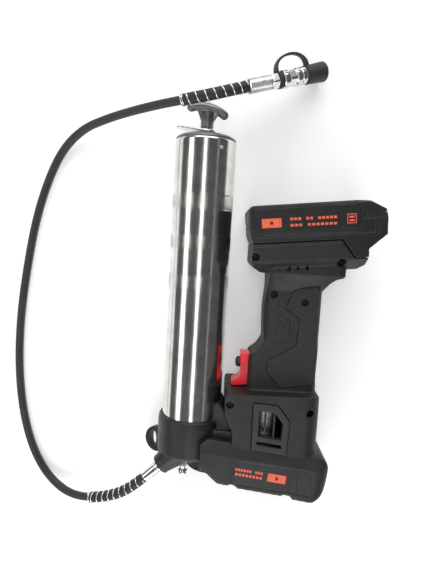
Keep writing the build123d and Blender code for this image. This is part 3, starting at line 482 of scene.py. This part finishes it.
def carried_frames(distances):
    """A point, direction and two sides at each distance, turning no more than the route does."""
    frames = []
    side = Vector((0, 0, 1))
    for distance in distances:
        ahead = along_route(min(distance + 0.001, HOSE_LENGTH))
        behind = along_route(max(distance - 0.001, 0))
        direction = (ahead - behind).normalized()
        side = (side - direction * side.dot(direction)).normalized()
        frames.append((along_route(distance), direction, side, direction.cross(side)))
    return frames


def swept(name, places, radius, segments=14):
    """A round wire or tube through a list of points; radius may be a list."""
    places = [Vector(place) for place in places]
    radii = radius if isinstance(radius, list) else [radius] * len(places)
    points, faces = [], []
    side = (places[1] - places[0]).orthogonal().normalized()
    for index, place in enumerate(places):
        ahead = places[min(index + 1, len(places) - 1)]
        behind = places[max(index - 1, 0)]
        direction = (ahead - behind).normalized()
        side = (side - direction * side.dot(direction)).normalized()
        other = direction.cross(side)
        for step in range(segments):
            angle = 2 * math.pi * step / segments
            points.append(place + (side * math.cos(angle) + other * math.sin(angle))
                          * radii[index])
    for ring in range(len(places) - 1):
        for step in range(segments):
            nearby = (step + 1) % segments
            faces.append((ring * segments + step, ring * segments + nearby,
                          (ring + 1) * segments + nearby, (ring + 1) * segments + step))
    faces.append(tuple(reversed(range(segments))))
    faces.append(tuple((len(places) - 1) * segments + step for step in range(segments)))
    piece = mesh_object(name, points, faces)
    tidy_mesh(piece)
    return piece


GUARD_LENGTHS = {"inlet": 0.071, "outlet": 0.0628}
GUARD_PITCHES = {"inlet": 0.0072, "outlet": 0.0078}
WIRE_R = 0.00062
CLOSE_TURNS = 1.6
CLOSE_PITCH = WIRE_R * 2.3
COIL_MARGIN = 0.001
TURN_STEPS = 20
SLEEVE_STEPS = 70


def make_guard(end):
    """A black sleeve and the bright wire wound over it, close together at the hose's side."""
    length = GUARD_LENGTHS[end]
    distances = list(np.linspace(0.0002, length, SLEEVE_STEPS))
    if end == "outlet":
        distances = [HOSE_LENGTH - distance for distance in reversed(distances)]
    sleeve_radius = GUARD_R * MM * 0.9
    edge = [sleeve_radius * 0.88, sleeve_radius * 0.97]
    radii = edge + [sleeve_radius] * (len(distances) - 4) + edge[::-1]
    places = [along_route(distance) for distance in distances]
    sleeve = swept(f"hose_sleeve_{end}", places, radii, 36)
    finish_piece(sleeve, "gun", "guard_sleeve", replaces=(f"hose_guard_{end}",))
    pitch = GUARD_PITCHES[end]
    close_length = CLOSE_TURNS * CLOSE_PITCH
    open_length = length - close_length - 2 * COIL_MARGIN
    turns = open_length / pitch
    steps = int((turns + CLOSE_TURNS) * TURN_STEPS)
    travel, angles = [], []
    for step in range(steps + 1):
        turned = step / TURN_STEPS
        angles.append(2 * math.pi * turned)
        if turned < turns:
            travel.append(COIL_MARGIN + turned * pitch)
        else:
            travel.append(COIL_MARGIN + open_length + (turned - turns) * CLOSE_PITCH)
    if end == "outlet":
        travel = [HOSE_LENGTH - distance for distance in reversed(travel)]
        angles = angles[::-1]
    wire = []
    for (place, _, side, other), angle in zip(carried_frames(travel), angles):
        wire.append(place + (side * math.cos(angle) - other * math.sin(angle))
                    * (GUARD_R * MM - WIRE_R * 0.4))
    coil = swept(f"hose_coil_{end}", wire, WIRE_R, 8)
    finish_piece(coil, "gun", "spring_steel")
    return [sleeve, coil]


hose = route_curve("grease_hose", HOSE_R * MM)
finish_piece(hose, "gun", "hose_rubber", replaces=("hose",))
hose_pieces = make_guard("inlet") + make_guard("outlet")


# ---- Hose ends: turned fittings --------------------------------------------------------------------
def fitting(name, corners, origin, direction, slot, replaced, rounding=0.3):
    """A turned or moulded piece of the hose's ends."""
    piece = lathe(name, rounded_profile(corners, rounding), at(*origin), direction)
    return finish_piece(piece, "gun", slot, replaces=replaced)


inlet_ferrule = fitting(
    "inlet_ferrule",
    [(1.8, 0), (6.6, 0), (6.6, 2.4), (5.2, 2.9), (5.2, 3.6), (5.6, 4.1), (5.6, 20.2, .8),
     (4.1, 21), (4.1, 15), (1.8, 15)],
    PORT, PORT_DIRECTION, "nipple_steel", ("hose_ferrule_inlet",))

RIB_COUNT = 12
RIB_PITCH = 2.0
RIB_R = 7.0
FERRULE_END = 25.0
ADAPTER_END = 33.0
SPIGOT_END = 38.0
ADAPTER_FLATS = 13.2
COUPLER_FLATS = 14.0
NIPPLE_FLATS = 9.2
HEXAGON_BORE = 4.0
rib_corners = [(4.05, 0.1), (4.05, FERRULE_END - 0.1), (6.2, FERRULE_END - 0.1)]
for number in reversed(range(RIB_COUNT)):
    foot = 0.5 + RIB_PITCH * number
    rib_corners += [(RIB_R - 0.55, foot + 1.6), (RIB_R, foot + 1.25), (RIB_R, foot + .45),
                    (RIB_R - 0.55, foot + .1)]
rib_corners += [(5.6, 0.1)]
outlet_ferrule = fitting("outlet_ferrule", rib_corners, OUTLET, OUTLET_DIRECTION,
                         "nipple_steel", ("hose_ferrule_outlet",), 0.2)

hex_nut = lathe("hex_adapter",
                rounded_profile([(2, FERRULE_END), (6.5, FERRULE_END, .2),
                                 (7.5, FERRULE_END + .8, .3), (7.5, ADAPTER_END - .8, .3),
                                 (6.5, ADAPTER_END, .2), (5.0, ADAPTER_END + .2, .2),
                                 (5.0, SPIGOT_END), (2, SPIGOT_END)], .2),
                at(*OUTLET), OUTLET_DIRECTION, 96)


def flatten_to_hexagon(piece, origin, direction, low, high, across_flats):
    """Pares the turned nut to six flats between two distances along its axis."""
    side = direction.orthogonal().normalized()
    other = direction.cross(side)
    for vertex in piece.data.vertices:
        offset = vertex.co - origin
        distance = offset.dot(direction)
        if not low * MM <= distance <= high * MM:
            continue
        flat = Vector((offset.dot(side), offset.dot(other)))
        if flat.length < HEXAGON_BORE * MM:
            continue
        angle = math.atan2(flat.y, flat.x) % (math.pi / 3) - math.pi / 6
        reach = min(flat.length, across_flats / 2 * MM / math.cos(angle))
        flat = flat.normalized() * reach
        vertex.co = origin + direction * distance + side * flat.x + other * flat.y


flatten_to_hexagon(hex_nut, at(*OUTLET), OUTLET_DIRECTION, FERRULE_END - .1, ADAPTER_END + .1,
                   ADAPTER_FLATS)
finish_piece(hex_nut, "gun", "nipple_steel", replaces=("coupler_adapter",))

coupler = fitting(
    "grease_coupler",
    [(3.2, 66), (3.2, 38.2), (7.6, 38.2), (8.4, 39), (8.4, 44.4), (7.8, 45), (7.6, 45.6),
     (7.6, 52.4), (7.8, 53), (8.4, 53.6), (8.4, 58.4), (8.0, 58.8), (8.0, 59.4), (8.4, 59.8),
     (8.4, 64.4, .6), (6.4, 65), (6.2, 79.8), (3.2, 80), (3.2, 70)],
    OUTLET, OUTLET_DIRECTION, "nipple_steel", ("coupler_body",))
flatten_to_hexagon(coupler, at(*OUTLET), OUTLET_DIRECTION, 45.3, 52.7, COUPLER_FLATS)

rubber_cap = fitting(
    "rubber_cap",
    [(0, 80.6), (6.3, 80.6), (6.3, 66.4), (8.2, 66.2, .5), (8.7, 66.9, .6), (8.8, 76),
     (9.2, 84.5), (9.45, 88.4, .4), (9.2, 88.9, .3), (8.0, 88.9, .4), (7.6, 86.2, .6), (0, 85.8)],
    OUTLET, OUTLET_DIRECTION, "cap_rubber", ("coupler_cap",), 0.5)

STRAP_SIDE = (UP_BARREL - OUTLET_DIRECTION * OUTLET_DIRECTION.y).normalized()
STRAP_FACE = OUTLET_DIRECTION.cross(STRAP_SIDE)
STRAP_STEPS = 40
STRAP_CORNERS = 16
STRAP_FOOT = (35.5, 7.0)
STRAP_HEAD = (70.5, 8.6)
STRAP_REACH = 17.9
STRAP_RISE = 13.2
STRAP_HALF_WIDTH = 2.4
STRAP_HALF_THICKNESS = 1.15
SQUARENESS = 0.55


def squared(share):
    """Pushes a circle's coordinate towards the corners of a square."""
    return math.copysign(abs(share) ** SQUARENESS, share)


def make_strap():
    """A flat rubber band from a ring behind the coupler to the rubber cap, moulded in one."""
    points, faces = [], []
    middle = (Vector(STRAP_FOOT) + Vector(STRAP_HEAD)) / 2
    for step in range(STRAP_STEPS + 1):
        angle = math.pi * (1 - step / STRAP_STEPS)
        reach = STRAP_REACH + 0.6 * math.sin(angle)
        distance = middle.x + reach * math.cos(angle)
        offset = middle.y + STRAP_RISE * math.sin(angle) ** 0.9 + 0.8 * math.cos(angle)
        swell = 1 + 0.5 * (abs(math.cos(angle)) ** 6)
        middle_point = OUTLET + OUTLET_DIRECTION * distance + STRAP_SIDE * offset
        outward = (OUTLET_DIRECTION * math.cos(angle) + STRAP_SIDE * math.sin(angle))
        for corner in range(STRAP_CORNERS):
            turn = 2 * math.pi * corner / STRAP_CORNERS
            across = STRAP_HALF_WIDTH * swell * squared(math.cos(turn))
            thick = STRAP_HALF_THICKNESS * squared(math.sin(turn))
            points.append(at(*(middle_point + STRAP_FACE * across + outward * thick)))
    for ring in range(STRAP_STEPS):
        for corner in range(STRAP_CORNERS):
            nearby = (corner + 1) % STRAP_CORNERS
            faces.append((ring * STRAP_CORNERS + corner, ring * STRAP_CORNERS + nearby,
                          (ring + 1) * STRAP_CORNERS + nearby, (ring + 1) * STRAP_CORNERS + corner))
    faces.append(tuple(range(STRAP_CORNERS)))
    faces.append(tuple(STRAP_STEPS * STRAP_CORNERS + corner for corner in range(STRAP_CORNERS)))
    band = mesh_object("cap_band", points, faces)
    tidy_mesh(band)
    return finish_piece(band, "gun", "cap_rubber", replaces=("cap_strap",))


cap_band = make_strap()
cap_ring = fitting("cap_ring", [(5.1, 33.5), (7.2, 33.5), (7.6, 34), (7.6, 37), (7.2, 37.6),
                                (5.1, 37.6)], OUTLET, OUTLET_DIRECTION, "cap_rubber", ())

NIPPLE_FOOT = (-5.5, -175.6)
loader_nipple = lathe(
    "loading_nipple",
    rounded_profile([(1.3, 0.1), (5.0, 0.1, .2), (5.3, 0.5, .3), (5.3, 3.5, .4), (4.6, 4.0, .3),
                     (3.6, 4.6, .4), (3.4, 7.6, .4), (4.75, 8.4, .4), (4.75, 11.8, .6),
                     (4.2, 12.6, .4), (3.2, 13.9, .4), (1.3, 13.9, .2)]),
    at(*NIPPLE_FOOT), -UP_BARREL)
flatten_to_hexagon(loader_nipple, at(*NIPPLE_FOOT), -UP_BARREL, 0, 3.8, NIPPLE_FLATS)
finish_piece(loader_nipple, "gun", "nipple_steel", replaces=("loader_nipple",))

# ---- Barrel, with its three knurled bands ------------------------------------------------------------
KNURL_BANDS = [(73.5, 86.8), (37.4, 50.1), (0.7, 13.6)]
KNURL_ROW = 0.52
KNURL_DEPTH = 0.3
KNURL_STEPS = 344
KNURL_COUNT = 86
TUBE_WALL = 1.5
TUBE_TOP = 137.0
BAND_EDGE = 0.06


def diamonds(y, step):
    """The depth of two crossing sets of helical grooves."""
    turns = step / KNURL_STEPS * KNURL_COUNT
    rise = y * KNURL_COUNT / (2 * math.pi * BARREL_R)
    depth = 0
    for phase in (turns + rise, turns - rise):
        depth = max(depth, 1 - abs(phase % 1 - 0.5) / 0.3)
    return -KNURL_DEPTH * depth


def make_barrel():
    """The drawn tube: inner wall, rolled top edge, and diamond points in the bands."""
    outside = [(BARREL_R, BARREL_FOOT + 0.4), (BARREL_R, BARREL_FOOT + 1.2)]
    knurled = {}
    for low, high in sorted(KNURL_BANDS):
        outside += [(BARREL_R, low - 1.4), (BARREL_R, low - 0.5), (BARREL_R - BAND_EDGE, low)]
        rows = round((high - low) / KNURL_ROW)
        for row in range(1, rows):
            y = low + (high - low) * row / rows
            knurled[len(outside)] = y
            outside.append((BARREL_R, y))
        outside += [(BARREL_R - BAND_EDGE, high), (BARREL_R, high + 0.5), (BARREL_R, high + 1.4)]
    top = [(BARREL_R, TUBE_TOP - 3.4), (BARREL_R, TUBE_TOP - 2.4), (BARREL_R - 0.2, TUBE_TOP - 1.1),
           (BARREL_R - 0.7, TUBE_TOP - 0.25), (BARREL_R - 1.2, TUBE_TOP)]
    inside = [(BARREL_R - TUBE_WALL, TUBE_TOP - 0.2), (BARREL_R - TUBE_WALL, BARREL_FOOT + 0.2),
              (BARREL_R - 0.6, BARREL_FOOT)]

    def wave(ring, step):
        return diamonds(knurled[ring], step) if ring in knurled else 0

    return lathe("grease_barrel", outside + top + inside, at(0, 0), UP_BARREL, KNURL_STEPS, wave)


finish_piece(make_barrel(), "barrel", "plated_steel", replaces=("barrel_tube",))

cap_profile = rounded_profile(
    [(4.05, 144.6, .3), (4.05, 120), (25.4, 120), (25.4, 118.2), (26.9, 118.2), (26.9, 137.0),
     (28.1, 137.1, .5), (27.9, 138.7, .9), (24.5, 140.8, 1.2), (13, 143.2, 1.5),
     (9.4, 144.7, .8)], .4, 5)
end_cap = lathe("end_cap", cap_profile, at(0, 0), UP_BARREL, 128)
finish_piece(end_cap, "barrel", "plated_steel", "handle_metal", replaces=("barrel_cap",))

RIVET_Y = 128.0
RIVET_ANGLES = [58, 178, 298]


def make_rivets():
    """Three domed rivet heads round the barrel's top."""
    made = []
    profile = [(0, 28.88), (0.9, 28.8), (1.5, 28.55), (1.75, 28.25), (1.55, 28.05),
               (1.55, 27.1), (0, 27.1)]
    for angle in RIVET_ANGLES:
        outward = Vector((math.cos(math.radians(angle)), 0, math.sin(math.radians(angle))))
        made.append(lathe(f"rivet_{angle}", profile, at(0, RIVET_Y), outward, 28))
    return made


for number, rivet in enumerate(make_rivets()):
    covered = ("cap_rivets",) if number == 0 else ()
    finish_piece(rivet, "barrel", "plated_steel", "nipple_steel", replaces=covered)


# ---- Grooves pressed into the mouldings ------------------------------------------------------------
STEEP = 0.7
GROOVE_FLOOR = 15.0


def gap_to(points, lines):
    """The distance from each point to the nearest of the lines, seen along Z, in millimetres."""
    best = np.full(len(points), np.inf)
    for line in lines:
        for first, last in zip(line, line[1:]):
            first = np.array(first)
            run = np.array(last) - first
            share = np.clip((points - first) @ run / (run @ run), 0, 1)
            best = np.minimum(best, np.linalg.norm(points - first - share[:, None] * run, axis=1))
    return best


def engrave(piece, lines, width, depth, splits):
    """Presses round-bottomed grooves into the upward faces of the gun's right side. The faces
    beside a line are first cut smaller, splits times."""
    made = bmesh.new()
    made.from_mesh(piece.data)
    for split in range(splits + 1):
        made.verts.ensure_lookup_table()
        made.normal_update()
        flat = np.array([((vertex.co.x - DATUM.x) / MM, (vertex.co.y - DATUM.y) / MM)
                         for vertex in made.verts])
        upward = np.array([vertex.normal.z > STEEP and vertex.co.z > DATUM.z + GROOVE_FLOOR * MM
                           for vertex in made.verts])
        gap = np.where(upward, gap_to(flat, lines), np.inf)
        if split == splits:
            break
        margin = width * (1.6 - 0.5 * split)
        chosen = [face for face in made.faces
                  if any(gap[vertex.index] < margin for vertex in face.verts)]
        edges = list({edge for face in chosen for edge in face.edges})
        bmesh.ops.subdivide_edges(made, edges=edges, cuts=1, use_grid_fill=True)
        made.verts.index_update()
    for vertex in made.verts:
        near = gap[vertex.index] / (width / 2)
        if near < 1:
            vertex.co -= vertex.normal * depth * MM * (1 - near ** 2) ** 0.5
    made.to_mesh(piece.data)
    made.free()


def placed(place, *lines):
    """Lines of a leaning frame, in millimetres from the datum."""
    return [[place(*point) for point in line] for line in lines]


GRIP_LINES = [
    [(77.5, -5), (76.5, -12.5), (90.5, -23.5), (92, -26.5), (92, -43.5)],
    [(74, -14.5), (88, -23.5), (89, -27), (88.5, -42), (86.5, -45.5), (66, -56)],
    [(68, -14.5), (82.5, -26.5), (83.5, -30.5), (80.5, -35), (66, -27)],
    [(66, -35), (77, -42), (77, -44.5), (66, -49.8)],
]
PAD_LINE = [[(90, -12), (101.5, -17), (104, -19), (105, -41), (99.5, -51.5), (74.5, -66),
             (75, -70.5), (85, -83.5), (111, -78)]]
LABEL_LINES = placed(
    on_battery,
    [(4, 29), (8, 29.3), (94, 30.5), (98, 26), (96, 8.5), (93, 6), (11, 7), (3.5, 13.5), (4, 29)],
    [(-1, 17), (3.5, 16.5)],
    [(0.5, 8), (4.5, 4.5), (59, 4.3), (109, 5)],
    [(108, 5), (108, 26.5)],
    [(112, 5), (112, 26.5)],
    [(97, 17.5), (119, 17.8)])
FOOT_LINES = placed(on_battery,
                    [(1.5, -3), (82, -2.4), (91.5, -14.5)],
                    [(2, -17), (72, -17), (90, -18.3)])
BOX_LINES = placed(on_box,
                   [(30, -11), (34, -8.2), (51.4, -5.6), (104, -4.5)],
                   [(86.8, -9.5), (89.2, -27)],
                   [(93.2, -9), (95.8, -27)])

# ---- Castings and mouldings ------------------------------------------------------------------------
# Each row: the piece and its node, the voxel in millimetres and the smoothing steps, its body, slot
# and material, then the lines, width, depth and face splits of its grooves.
MOULDINGS = [
    ("pull_handle", "t_handle", 0.35, 12, "rod", "handle_metal", None, None),
    ("rod_latch", "latch_plate", 0.3, 3, "latch", "plated_steel", "nipple_steel", None),
    ("head_casting", "pump_head", 0.8, 7, "gun", "black_casting", None, None),
    ("carry_loop", "strap_loop", 0.4, 6, "gun", "black_casting", None, None),
    ("squeeze_trigger", "trigger", 0.4, 5, "trigger", "red_plastic", None, None),
    ("lock_button", "safety_button", 0.3, 4, "safety", "black_button", None, None),
    ("battery_release_key", "battery_latch", 0.5, 3, "battery_release", "latch_plastic", None,
     None),
    ("vent_frames", "vent_inserts", 0.4, 3, "gun", "vent_plastic", None, None),
    ("grip_overmould_right", "grip_pad_right", 0.5, 3, "gun", "grip_rubber", None,
     (PAD_LINE, 0.8, 0.3, 2)),
    ("grip_overmould_left", "grip_pad_left", 0.5, 3, "gun", "grip_rubber", None, None),
    ("housing_shell_right", "housing_right", 0.95, 4, "gun", "housing_plastic", None,
     (GRIP_LINES + FOOT_LINES, 1.0, 0.5, 1)),
    ("housing_shell_left", "housing_left", 0.95, 4, "gun", "housing_plastic", None, None),
    ("battery_lower_case", "battery_base", 0.7, 4, "battery", "battery_plastic", None,
     (LABEL_LINES, 0.9, 0.4, 1)),
    ("battery_upper_case", "battery_cover", 0.7, 4, "battery", "battery_plastic", None,
     (LABEL_LINES, 0.9, 0.4, 1)),
    ("label_panel", "label_plates", 0.4, 2, "gun", "label_plastic", None,
     (BOX_LINES, 0.8, 0.35, 1)),
]
for name, node, voxel, smoothing, body, slot, material, grooves in MOULDINGS:
    moulding = softened(name, node, voxel, smoothing)
    if grooves:
        engrave(moulding, *grooves)
    finish_piece(moulding, body, slot, material, replaces=(node,))

# ---- Plain printed blocks, in place of all lettering ------------------------------------------------
# Each ground: its leaning frame, the height of its face, its body and its slot.
ON_BATTERY = (on_battery, 37.5, "battery", "battery_plastic")
ON_LABEL = (on_box, 37.3, "gun", "label_plastic")
PRINT_HEIGHT = 0.14
PRINT_ROOT = 0.2
PRINT_BEVEL = 0.06
DOT_LIFT = 0.1
MARK_SHARE = 0.72


def printed_block(name, ground, box, material="print_orange", rounding=0.4, lift=0.0):
    """A thin printed block with softened corners and a bevelled edge."""
    place, face, body, slot = ground
    x0, y0, x1, y1 = box
    corners = rounded_profile([(x0, y0), (x1, y0), (x1, y1), (x0, y1)], rounding, 3)
    middle = Vector(((x0 + x1) / 2, (y0 + y1) / 2))
    rings = ((0, -PRINT_ROOT), (0, PRINT_HEIGHT * 0.6), (PRINT_BEVEL, PRINT_HEIGHT))
    points, faces = [], []
    for inset, height in rings:
        for corner in corners:
            inward = middle - Vector(corner)
            moved = Vector(corner) + inward.normalized() * inset
            points.append(at(*place(*moved), face + lift + height))
    count = len(corners)
    for ring in range(len(rings) - 1):
        for index in range(count):
            nearby = (index + 1) % count
            faces.append((ring * count + index, ring * count + nearby,
                          (ring + 1) * count + nearby, (ring + 1) * count + index))
    faces.append(tuple(reversed(range(count))))
    faces.append(tuple((len(rings) - 1) * count + index for index in range(count)))
    block = mesh_object(name, points, faces)
    tidy_mesh(block)
    finish_piece(block, body, slot, material)
    block.data.shade_flat()


def printed_row(name, ground, box, groups):
    """A row of short plain marks in groups. They stand for no letters."""
    x0, y0, x1, y1 = box
    pitch = (x1 - x0) / (sum(groups) + len(groups) - 1)
    mark = 0
    for group in groups:
        for _ in range(group):
            left = x0 + mark * pitch
            printed_block(f"{name}_{mark}", ground, (left, y0, left + pitch * MARK_SHARE, y1),
                          rounding=0.3)
            mark += 1
        mark += 1


printed_block("battery_mark", ON_BATTERY, (10.3, 12.8, 27.3, 20.8))
printed_block("battery_mark_dot", ON_BATTERY, (17.3, 15.3, 20.3, 18.3), "print_dark", 1.4, DOT_LIFT)
printed_row("battery_row_a", ON_BATTERY, (35, 18.4, 76.5, 20.8), (3, 2, 5))
printed_row("battery_row_b", ON_BATTERY, (35, 13.1, 76.5, 15.3), (3, 7))
for name, box in (("low", (84.4, 13.4, 92.5, 14.1)), ("high", (84.4, 21.1, 92.5, 21.8)),
                  ("front", (84.4, 14.2, 85.1, 21.0)), ("back", (91.8, 14.2, 92.5, 21.0)),
                  ("bar_a", (86.2, 15.2, 90.7, 16.8)), ("bar_b", (86.2, 18.2, 90.7, 19.9))):
    printed_block(f"battery_frame_{name}", ON_BATTERY, box, rounding=0.2)
printed_block("label_mark", ON_LABEL, (66.6, -21.5, 83.6, -13.6))
printed_block("label_mark_dot", ON_LABEL, (73.6, -19.1, 76.6, -16.1), "print_dark", 1.4, DOT_LIFT)
printed_row("label_row_a", ON_LABEL, (36, -16.4, 62.4, -13.9), (6, 3))
printed_row("label_row_b", ON_LABEL, (36.5, -20.9, 62.6, -18.4), (8,))

# ---- Floor and light ---------------------------------------------------------------------------------
FLOOR_SIZE = 4.0


def make_floor():
    """A plain pale floor."""
    half = FLOOR_SIZE / 2
    floor = mesh_object("floor", [(-half, -half, 0), (half, -half, 0), (half, half, 0),
                                  (-half, half, 0)], [(0, 1, 2, 3)])
    shader = Shader("floor", 0.95, 0.0, (0.9, 0.9, 0.9))
    shader.main.inputs["Emission Color"].default_value = (1, 1, 1, 1)
    shader.main.inputs["Emission Strength"].default_value = 0.3
    shader.bump(shader.noise(40, 3), 0.02, 0.0005)
    floor.data.materials.append(shader.material)


def make_light(name, place, target, size, power):
    """A rectangular lamp. The first of its sizes runs level."""
    data = bpy.data.lights.new(name, "AREA")
    data.shape = "RECTANGLE"
    data.size, data.size_y = size
    data.energy = power
    lamp = bpy.data.objects.new(name, data)
    bpy.context.scene.collection.objects.link(lamp)
    lamp.location = place
    lamp.rotation_euler = (Vector(target) - Vector(place)).to_track_quat("-Z", "Y").to_euler()


make_floor()
BARREL_SPOT = (DATUM.x, 0, 0)
# Each row: the lamp, its place, where it points, its size in metres and its power in watts.
LIGHTS = [
    ("overhead_strip", (DATUM.x + 0.03, 0, 1.2), BARREL_SPOT, (1.5, 0.2), 2.6),
    ("left_box", (DATUM.x - 0.95, 0, 0.8), BARREL_SPOT, (1.5, 0.34), 4.2),
    ("right_box", (DATUM.x + 0.95, 0, 0.85), BARREL_SPOT, (1.4, 0.07), 0.14),
    ("handle_end_box", (0, 1.15, 0.75), (0, 0, 0), (1.6, 0.8), 13),
    ("head_end_box", (0, -1.15, 0.75), (0, 0, 0), (1.6, 0.8), 13),
]
for light in LIGHTS:
    make_light(*light)

world = bpy.data.worlds.new("studio")
bpy.context.scene.world = world
world.use_nodes = True
world.node_tree.nodes["Background"].inputs["Color"].default_value = (0.96, 0.98, 1.0, 1)
world.node_tree.nodes["Background"].inputs["Strength"].default_value = 0.1
bpy.context.scene.view_settings.view_transform = "Standard"
